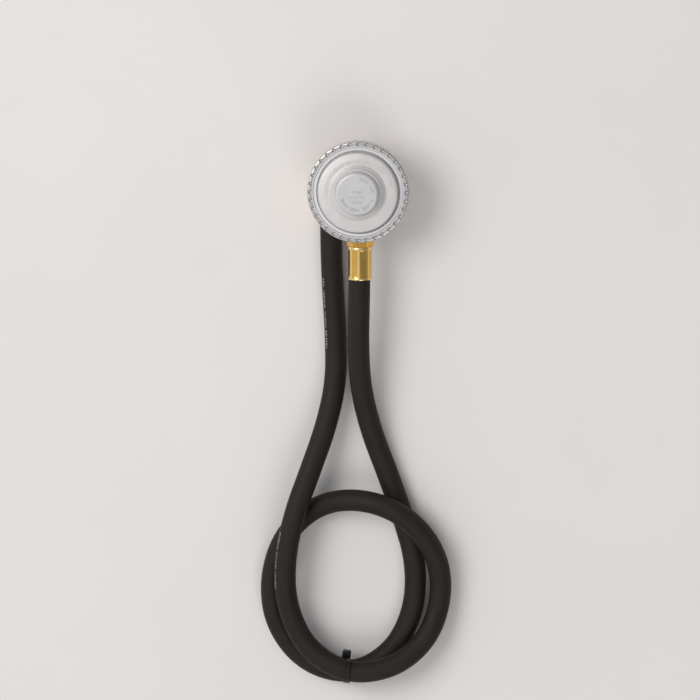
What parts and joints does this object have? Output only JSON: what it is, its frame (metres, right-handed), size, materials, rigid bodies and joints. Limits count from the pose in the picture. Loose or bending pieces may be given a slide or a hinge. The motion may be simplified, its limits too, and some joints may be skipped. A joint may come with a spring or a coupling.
{
  "type": "gas regulator with hose",
  "caption": "Round low-pressure gas regulator with a swivelling threaded inlet, a length of rubber gas hose crimped to its side outlet, looped and tied, and a swivel nut at the far end.",
  "frame": {"origin": "centre of the free end of the inlet thread, on the regulator's axis, which is also the floor", "axes": "+Z along the regulator's axis towards its face, -Y along the outlet towards the hose loop, +X to the right seen from the face"},
  "size_m": [0.1266, 0.3646, 0.0531],
  "materials": {
    "casting": "satin clear-coated zinc casting",
    "cap": "satin clear-coated zinc casting",
    "brass": "turned",
    "ferrule_brass": "bright, crimped",
    "spring_steel": "plain",
    "seal_rubber": "matte",
    "plastic": "moulded",
    "hose_rubber": "satin extruded",
    "tie_nylon": "moulded"
  },
  "bodies": {
    "housing": {"regulator_body": "casting", "bonnet": "casting", "tamper_cap": "cap", "orifice_jet": "brass", "lever_pin": "spring_steel", "gland_nut": "brass", "thrust_washer": "plastic", "tail_washer": "plastic", "hose_tail": "brass", "regulator_ferrule": "ferrule_brass", "hose": "hose_rubber", "cable_tie": "tie_nylon", "outlet_ferrule": "ferrule_brass", "outlet_tail": "brass"},
    "inlet": {"inlet_stem": "brass", "hand_collar": "brass", "retaining_clip": "spring_steel", "stem_o_ring": "seal_rubber", "inlet_seal_ring": "seal_rubber", "inlet_filter": "brass", "valve_pin": "brass"},
    "outlet_nut": {"swivel_nut": "brass"},
    "diaphragm_stack": {"diaphragm": "seal_rubber", "diaphragm_plate": "spring_steel", "lower_washer": "spring_steel", "diaphragm_post": "brass", "post_nut": "spring_steel", "main_spring": "spring_steel"},
    "lever": {"lever": "spring_steel"},
    "valve": {"valve_plunger": "brass", "valve_seat_disc": "seal_rubber"},
    "adjuster": {"adjuster_ring": "plastic"}
  },
  "joints": [
    {"name": "inlet_swivel", "type": "hinge", "parent": "housing", "child": "inlet", "pos_m": [0, 0, 0.015], "axis": [0, 0, 1], "continuous": true},
    {"name": "outlet_nut_spin", "type": "hinge", "parent": "housing", "child": "outlet_nut", "pos_m": [-0.0205, 0, 0.0085], "axis": [0, 1, 0], "continuous": true},
    {"name": "diaphragm_lift", "type": "slide", "parent": "housing", "child": "diaphragm_stack", "axis": [0, 0, 1], "range_m": [0, 0.0015], "deforming": ["diaphragm", "main_spring"]},
    {"name": "lever_tilt", "type": "hinge", "parent": "housing", "child": "lever", "pos_m": [0.0205, 0, 0.0335], "axis": [0, 1, 0], "range_deg": [0, 4.5]},
    {"name": "valve_slide", "type": "slide", "parent": "housing", "child": "valve", "axis": [1, 0, 0], "range_m": [-0.0003, 0]},
    {"name": "adjuster_turn", "type": "hinge", "parent": "housing", "child": "adjuster", "pos_m": [0, 0, 0.0495], "axis": [0, 0, 1], "range_deg": [-180, 180]}
  ],
  "couplings": [
    {"joint": "lever_tilt", "follows": "diaphragm_lift", "rad_per_m": 48.78},
    {"joint": "valve_slide", "follows": "diaphragm_lift", "ratio": -0.19}
  ]
}
